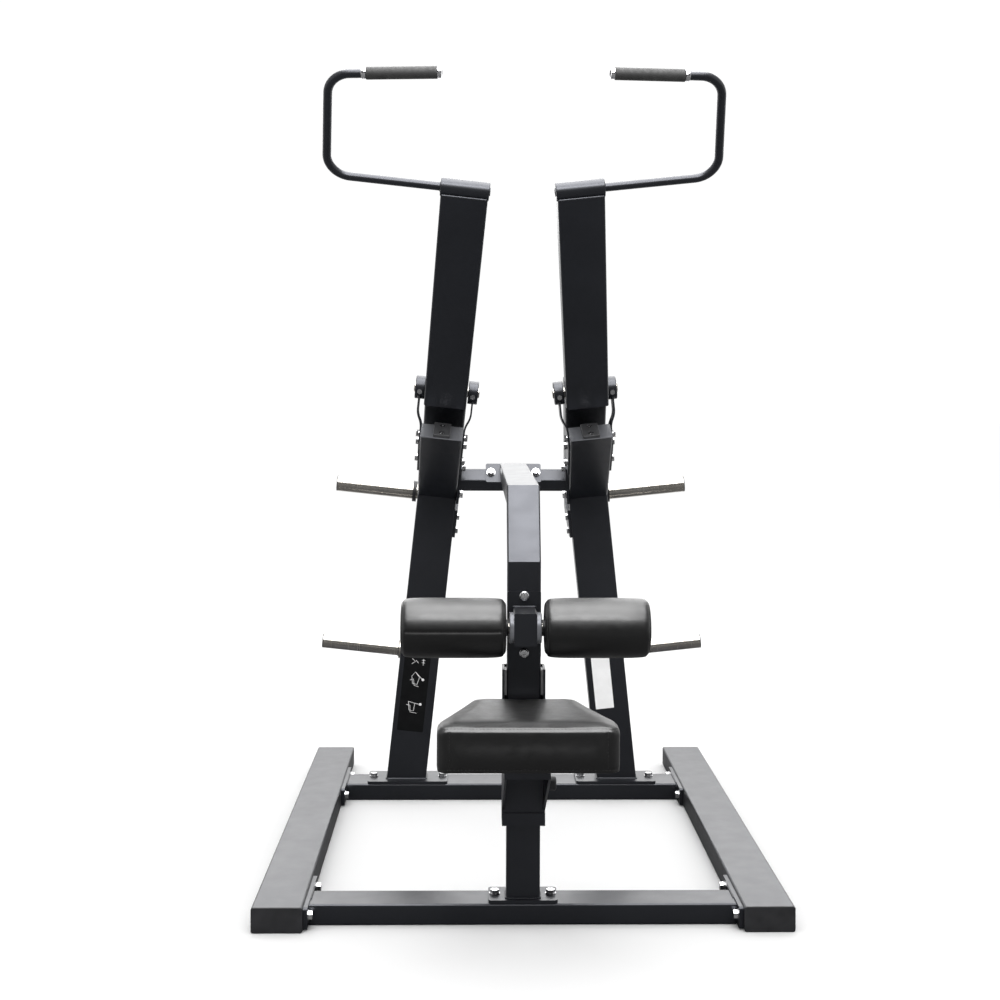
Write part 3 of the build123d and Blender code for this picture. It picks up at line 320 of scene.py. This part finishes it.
def make_rounding():
    """Geometry nodes that shade curved faces as one surface and keep sharper edges crisp."""
    crisp_over = radians(24)
    group = bpy.data.node_groups.new("rounding", "GeometryNodeTree")
    for direction in ("INPUT", "OUTPUT"):
        group.interface.new_socket("Geometry", in_out=direction, socket_type="NodeSocketGeometry")
    first = group.nodes.new("NodeGroupInput")
    drop = group.nodes.new("GeometryNodeRemoveAttribute")
    drop.inputs["Name"].default_value = "custom_normal"
    weld = group.nodes.new("GeometryNodeMergeByDistance")
    weld.inputs["Distance"].default_value = 1e-5
    soft = group.nodes.new("GeometryNodeSetShadeSmooth")
    crisp = group.nodes.new("GeometryNodeSetShadeSmooth")
    crisp.domain = "EDGE"
    crisp.inputs["Shade Smooth"].default_value = False
    last = group.nodes.new("NodeGroupOutput")
    angle = group.nodes.new("GeometryNodeInputMeshEdgeAngle")
    over = group.nodes.new("FunctionNodeCompare")
    over.operation = "GREATER_THAN"
    over.inputs[1].default_value = crisp_over
    chain = (first, drop, weld, soft, crisp, last)
    for before, after in zip(chain, chain[1:]):
        group.links.new(before.outputs[0], after.inputs[0])
    group.links.new(angle.outputs["Unsigned Angle"], over.inputs[0])
    group.links.new(over.outputs[0], crisp.inputs["Selection"])
    return group


def dress_nodes():
    rounding = make_rounding()
    for entry in frame["record"]["subparts"]:
        node = nodes[entry["node"]]
        node.data.materials.clear()
        node.data.materials.append(MATERIALS[entry["material_slot"]])
        node.modifiers.new("rounding", "NODES").node_group = rounding


# ---- padded pieces -------------------------------------------------------------------------------
def copy_of(node, name):
    piece = bpy.data.objects.new(name, nodes[node].data.copy())
    scene.collection.objects.link(piece)
    return piece


def shrink(piece, amount):
    """Moves every side in by its amount, about the middle of the piece's box."""
    points = [v.co for v in piece.data.vertices]
    low = Vector([min(p[i] for p in points) for i in range(3)])
    high = Vector([max(p[i] for p in points) for i in range(3)])
    middle, half = (low + high) / 2, (high - low) / 2
    for vertex in piece.data.vertices:
        for i in range(3):
            vertex.co[i] = middle[i] + (vertex.co[i] - middle[i]) * (half[i] - amount[i]) / half[i]


def apply_modifier(piece, modifier):
    graph = bpy.context.evaluated_depsgraph_get()
    mesh = bpy.data.meshes.new_from_object(piece.evaluated_get(graph))
    piece.modifiers.remove(modifier)
    piece.data = mesh


def remesh(piece):
    modifier = piece.modifiers.new("remesh", "REMESH")
    modifier.mode = "VOXEL"
    modifier.voxel_size = VOXEL
    apply_modifier(piece, modifier)


def inflate(piece, held, cap, pressure, tension):
    """Swells the cover by cloth pressure. held(point) says which points stay where they are, and cap is how
    far a point may move. The swelling is then averaged with its neighbours', so that no wrinkle is left."""
    frames, evenings = 20, 12
    rest = [v.co.copy() for v in piece.data.vertices]
    normals = [v.normal.copy() for v in piece.data.vertices]
    fixed = [held(point) for point in rest]
    group = piece.vertex_groups.new(name="held")
    group.add([i for i, still in enumerate(fixed) if still], 1.0, "ADD")
    modifier = piece.modifiers.new("cloth", "CLOTH")
    settings = modifier.settings
    settings.quality = 5
    settings.mass = 0.4
    settings.tension_stiffness = tension
    settings.compression_stiffness = tension
    settings.bending_stiffness = 4
    settings.use_pressure = True
    settings.uniform_pressure_force = pressure
    settings.vertex_group_mass = "held"
    settings.effector_weights.gravity = 0
    modifier.collision_settings.use_collision = False
    for step in range(1, frames + 1):
        scene.frame_set(step)
    graph = bpy.context.evaluated_depsgraph_get()
    swollen = [v.co.copy() for v in piece.evaluated_get(graph).data.vertices]
    piece.modifiers.remove(modifier)
    scene.frame_set(1)
    grown = [(end - start).dot(normal) for start, end, normal in zip(rest, swollen, normals)]
    swell = [max(0.0, min(cap, amount)) for amount in grown]
    edges = [tuple(edge.vertices) for edge in piece.data.edges]
    for _ in range(evenings):
        total, count = list(swell), [1] * len(swell)
        for i, j in edges:
            total[i] += swell[j]
            total[j] += swell[i]
            count[i] += 1
            count[j] += 1
        swell = [0.0 if still else t / c for still, t, c in zip(fixed, total, count)]
    for vertex, start, normal, amount in zip(piece.data.vertices, rest, normals, swell):
        vertex.co = start + normal * amount


def subdivide(piece):
    modifier = piece.modifiers.new("subdivision", "SUBSURF")
    modifier.levels = modifier.render_levels = 1
    apply_modifier(piece, modifier)


def smooth(piece):
    for polygon in piece.data.polygons:
        polygon.use_smooth = True


def press_seam(piece, path, depth, width):
    """Draws the cover in along a sewn seam."""
    tree = KDTree(len(path))
    for index, point in enumerate(path):
        tree.insert(point, index)
    tree.balance()
    pressed = []
    for vertex in piece.data.vertices:
        distance = tree.find(vertex.co)[2]
        if distance < 3 * width:
            pull = depth * exp(-((distance / width) ** 2))
            pressed.append((vertex.index, vertex.co - vertex.normal * pull))
    for index, point in pressed:
        piece.data.vertices[index].co = point
    piece.data.update()


def dense(points, step, closed=False):
    """The same line with points at most step apart."""
    line = []
    following = points[1:] + points[:1] if closed else points[1:]
    for start, end in zip(points, following):
        count = max(1, int((end - start).length / step))
        line += [start.lerp(end, i / count) for i in range(count)]
    return line if closed else line + [points[-1]]


def on_surface(piece, points):
    """The nearest place on the piece, and its normal, for each point."""
    mesh = piece.data
    tree = BVHTree.FromPolygons([v.co for v in mesh.vertices], [p.vertices for p in mesh.polygons])
    return [tree.find_nearest(point)[:2] for point in points]


def beads(name, lines, sides):
    """One mesh of round beads. Each line is (points, radius, closed, ripple), ripple being the depth and
    length of the waves along it."""
    bm = bmesh.new()
    for points, radius, closed, ripple in lines:
        count = len(points)
        rings, side, run = [], None, 0.0
        for index, point in enumerate(points):
            before = points[index - 1] if index or closed else point
            after = points[(index + 1) % count] if index + 1 < count or closed else point
            along = (after - before).normalized()
            side = along.orthogonal() if side is None else side - along * side.dot(along)
            side.normalize()
            other = along.cross(side)
            run += (point - before).length
            size = radius * (1 - ripple[0] * (0.5 + 0.5 * cos(2 * pi * run / ripple[1])))
            turns = [2 * pi * k / sides for k in range(sides)]
            rings.append([bm.verts.new(point + (side * cos(t) + other * sin(t)) * size) for t in turns])
        for index in range(count if closed else count - 1):
            first, second = rings[index], rings[(index + 1) % count]
            for k in range(sides):
                bm.faces.new((first[k], first[(k + 1) % sides], second[(k + 1) % sides], second[k]))
        if not closed:
            bm.faces.new(rings[0][::-1])
            bm.faces.new(rings[-1])
    mesh = bpy.data.meshes.new(name)
    bm.to_mesh(mesh)
    bm.free()
    piece = bpy.data.objects.new(name, mesh)
    scene.collection.objects.link(piece)
    smooth(piece)
    return piece


def finish_piece(piece, body, slot):
    piece.data.materials.clear()
    piece.data.materials.append(MATERIALS[slot])
    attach(piece, body)


def sewn(piece, name, body, path, depth, width=SEAM_WIDTH):
    """A seam along a path on the cover: the cover is drawn in, and a row of stitches lies in the fold."""
    stitch, thread = 0.004, 0.0004
    hits = [point for point, _ in on_surface(piece, path)]
    press_seam(piece, hits, depth, width)
    settled = on_surface(piece, path)
    stitches = []
    step = max(1, round(stitch / (path[1] - path[0]).length))
    for index in range(0, len(settled) - step, 2 * step):
        (start, normal), (end, _) = settled[index], settled[index + step]
        middle = start.lerp(end, 0.5) + normal * thread
        stitches.append(([start, middle, end], thread, False, PLAIN))
    finish_piece(beads(name, stitches, sides=5), body, "black_vinyl")


def make_seat_pad():
    flat_base, rim_rise, hem_rise = 0.012, 0.003, 0.009
    corner_inset = 0.030
    low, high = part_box("seat_pad")
    pad = copy_of("seat_pad", "seat_cushion")
    shrink(pad, (PAD_INSET, PAD_INSET, 0.001))
    remesh(pad)
    inflate(pad, lambda p: p.z < low.z + flat_base, cap=0.008, pressure=5.0, tension=25)
    subdivide(pad)
    corners = seat_outline(low, high)
    rim = dense([Vector((x, y, high.z + rim_rise)) for x, y in corners], SEAM_STEP, closed=True)
    hem = dense([Vector((x, y, low.z + hem_rise)) for x, y in corners], SEAM_STEP, closed=True)
    sewn(pad, "seat_rim_seam", "seat", rim, depth=0.0012)
    sewn(pad, "seat_hem_seam", "seat", hem, depth=0.0010)
    for side, x in (("left", corners[0][0] + corner_inset), ("right", corners[1][0] - corner_inset)):
        top, bottom = Vector((x, low.y, high.z - 0.010)), Vector((x, low.y, low.z + flat_base))
        sewn(pad, f"seat_{side}_corner_seam", "seat", dense([top, bottom], SEAM_STEP), depth=0.0012)
    smooth(pad)
    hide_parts("seat_pad")
    finish_piece(pad, "seat", "black_vinyl")


def seat_outline(low, high):
    """The pad's plan, measured on its own mesh: parallel sides in front, then narrowing to the back."""
    front_zone, back_zone, straight = 0.03, 0.004, 0.07
    points = [v.co for v in nodes["seat_pad"].data.vertices]
    front_half = max(p.x for p in points if p.y < low.y + front_zone)
    back_half = max(p.x for p in points if p.y > high.y - back_zone)
    return [
        (-front_half, low.y), (front_half, low.y), (front_half, low.y + straight),
        (back_half, high.y), (-back_half, high.y), (-front_half, low.y + straight),
    ]


def open_pocket(pad, centre):
    """Widens the pocket in a roller's outer end, so that the cover clears the end cap all round."""
    pocket_floor, pocket_radius = 0.2785, 0.0272
    for vertex in pad.data.vertices:
        spoke = Vector((0, vertex.co.y - centre.y, vertex.co.z - centre.z))
        if abs(vertex.co.x) > pocket_floor and spoke.length < pocket_radius:
            vertex.co += spoke.normalized() * (pocket_radius - spoke.length)


def make_roller_pads():
    core_zone = 0.032
    end_seam_inset, end_seam_drop, closing_seam_inset = 0.004, 0.006, 0.016
    for side, closing_turn in (("left", radians(179)), ("right", radians(60))):
        node, body = side + "_roller_pad", side + "_roller"
        low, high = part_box(node)
        centre = (low + high) / 2
        radius = (high.z - low.z) / 2
        pad = copy_of(node, side + "_roller_cushion")
        shrink(pad, (PAD_INSET, PAD_INSET, PAD_INSET))
        remesh(pad)

        def by_core(point):
            return (point - Vector((point.x, centre.y, centre.z))).length < core_zone

        inflate(pad, by_core, cap=0.005, pressure=200, tension=1)
        subdivide(pad)

        left_end, right_end = low.x + end_seam_inset, high.x - end_seam_inset
        inner, outer = (left_end, right_end) if side == "right" else (right_end, left_end)
        for end, x in (("inner", inner), ("outer", outer)):
            turns = [2 * pi * k / 240 for k in range(240)]
            reach = radius - end_seam_drop
            path = [Vector((x, centre.y + reach * cos(t), centre.z + reach * sin(t))) for t in turns]
            sewn(pad, f"{side}_roller_{end}_seam", body, path, depth=0.0018)
        seam_y = centre.y + radius * cos(closing_turn)
        seam_z = centre.z + radius * sin(closing_turn)
        span = (low.x + closing_seam_inset, high.x - closing_seam_inset)
        path = dense([Vector((x, seam_y, seam_z)) for x in span], SEAM_STEP)
        sewn(pad, f"{side}_roller_closing_seam", body, path, depth=0.0022, width=0.0035)
        open_pocket(pad, centre)
        smooth(pad)
        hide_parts(node)
        finish_piece(pad, body, "black_vinyl")


# ---- welds ---------------------------------------------------------------------------------------
def side_point(outboard, y, height, sign):
    """A point of the leaning side plane, in metres, on the right (+1) or the left (-1) side."""
    foot = 0.3303
    x = foot + outboard * cos(SIDE_LEAN) - height * sin(SIDE_LEAN)
    return Vector((sign * x, y, outboard * sin(SIDE_LEAN) + height * cos(SIDE_LEAN)))


def ring(centre, normal, radius):
    count = 40
    across = normal.orthogonal().normalized()
    other = normal.cross(across).normalized()
    turns = [2 * pi * k / count for k in range(count)]
    return [centre + (across * cos(t) + other * sin(t)) * radius for t in turns]


def weld(points, size=0.003, closed=True):
    return dense(points, 0.0025, closed), size, closed, WELD_RIPPLE


def rectangle(left, right, front, back, z):
    return [Vector((x, y, z)) for x, y in ((left, front), (right, front), (right, back), (left, back))]


def post_weld(sign):
    """Round a main post, on its base plate."""
    middle, half, foot_z = 0.3242, 0.061, 0.0585
    depth = 0.061
    near, far = sign * (middle - half), sign * (middle + half)
    front = POST_FRONT - PROUD
    return weld(rectangle(near, far, front, front + depth, foot_z))


def storage_horn_weld(sign):
    y, height, root = 0.531, 0.449, 0.0665
    centre = side_point(root, y, height, sign)
    outward = (side_point(0.1, y, height, sign) - centre).normalized()
    return weld(ring(centre, outward, 0.0222), 0.0024)


def cross_tube_weld(sign, node, half):
    """Up the front of a cross tube's end, over its top and down the back."""
    x, foot, shoulder, top, corner = sign * 0.5045, 0.006, 0.0445, 0.0505, 0.006
    low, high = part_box(node)
    middle = (low.y + high.y) / 2
    front, back = middle - half, middle + half
    return weld([
        Vector((x, front - PROUD, foot)), Vector((x, front - PROUD, shoulder)),
        Vector((x, front + corner, top)), Vector((x, back - corner, top)),
        Vector((x, back + PROUD, shoulder)), Vector((x, back + PROUD, foot)),
    ], closed=False)


def centre_post_weld():
    half, depth, foot_z = 0.0405, 0.0505, 0.0585
    return weld(rectangle(-half, half, CENTRE_POST_FRONT - PROUD, CENTRE_POST_FRONT + depth, foot_z))


def bracket_weld():
    """Round the roller bracket's box, on its plate."""
    y, z, half_width, half_height = CENTRE_POST_FRONT - 0.0065, 0.713, 0.027, 0.038
    corners = ((-half_width, -half_height), (half_width, -half_height), (half_width, half_height),
               (-half_width, half_height))
    return weld([Vector((x, y, z + rise)) for x, rise in corners], 0.0025)


def make_frame_welds():
    lines = []
    for sign in (1, -1):
        lines.append(post_weld(sign))
        lines.append(storage_horn_weld(sign))
        lines.append(cross_tube_weld(sign, "front_cross_tube", 0.05))
        lines.append(cross_tube_weld(sign, "rear_cross_tube", 0.06))
    lines += [centre_post_weld(), bracket_weld()]
    finish_piece(beads("frame_welds", lines, sides=6), "frame", "frame_coat")


def make_arm_welds():
    """Beads between each arm's bar and its handle sleeve, round the handle and round the loading horn."""
    lean = radians(43)  # of the bar from upright, at rest
    along, behind = Vector((0, -sin(lean), cos(lean))), Vector((0, cos(lean), sin(lean)))
    pivot = Vector((0, 0.191, 1.264))
    sleeve = pivot + along * 0.7405 - behind * 0.0436
    half_width, half_depth = 0.058, 0.0262
    for sign, side in ((1, "right"), (-1, "left")):
        lines = []
        for reach in (-half_depth, half_depth):
            low = sleeve - along * 0.0085 + behind * reach
            ends = [side_point(outboard, low.y, low.z, sign) for outboard in (-half_width, half_width)]
            lines.append(weld(ends, 0.0046, closed=False))
        outward = (side_point(1, 0, 1, sign) - side_point(0, 0, 1, sign)).normalized()
        mouth = side_point(0.0622, sleeve.y, sleeve.z, sign)
        lines.append(weld(ring(mouth, outward, 0.0118), 0.0022))
        horn = side_point(0.0605, 0.721, 0.923, sign)
        lines.append(weld(ring(horn, outward, 0.0252), 0.0028))
        finish_piece(beads(side + "_arm_welds", lines, sides=6), side + "_arm", "frame_coat")


# ---- markings ------------------------------------------------------------------------------------
def make_placard_drawing():
    """Light line drawings of the kind shown on exercise placards, without any text."""
    sketch = {
        "frame_a": [
            (-0.012, 0.374), (-0.002, 0.388), (0.012, 0.372),
            (0.006, 0.350), (-0.008, 0.352), (-0.012, 0.374),
        ],
        "seat_a": [(-0.016, 0.362), (-0.006, 0.366), (-0.002, 0.346), (0.012, 0.344)],
        "arm_a": [(-0.002, 0.388), (0.020, 0.368)],
        "frame_b": [(-0.014, 0.296), (0.006, 0.292), (0.004, 0.268), (-0.010, 0.270), (-0.014, 0.296)],
        "seat_b": [(-0.020, 0.286), (-0.008, 0.284), (-0.006, 0.264), (0.014, 0.262)],
        "arm_b": [(0.006, 0.292), (0.020, 0.290)],
        "sign_a": [(-0.016, 0.428), (-0.006, 0.420), (-0.016, 0.412)],
        "sign_b": [(-0.004, 0.424), (0.004, 0.416)],
        "sign_c": [(0.014, 0.426), (0.024, 0.426)],
        "sign_d": [(0.014, 0.418), (0.024, 0.418)],
        "sign_e": [(0.019, 0.430), (0.019, 0.410)],
    }
    middle, face = 0.005, POST_FRONT - 0.0006
    stroke, dot, dot_half = 0.0007, 0.0042, 0.0003

    def on_placard(point, lift=0.0):
        return side_point(middle - point[0], face - lift, point[1], -1)

    lines = [([on_placard(p) for p in points], stroke, False, PLAIN) for points in sketch.values()]
    for spot in ((0.023, 0.366), (0.023, 0.290)):
        lines.append(([on_placard(spot, -dot_half), on_placard(spot, dot_half)], dot, False, PLAIN))
    finish_piece(beads("placard_drawing", lines, sides=12), "frame", "white_label")


# ---- build ---------------------------------------------------------------------------------------
make_camera()
make_studio()
dress_nodes()
make_seat_pad()
make_roller_pads()
make_frame_welds()
make_arm_welds()
make_placard_drawing()
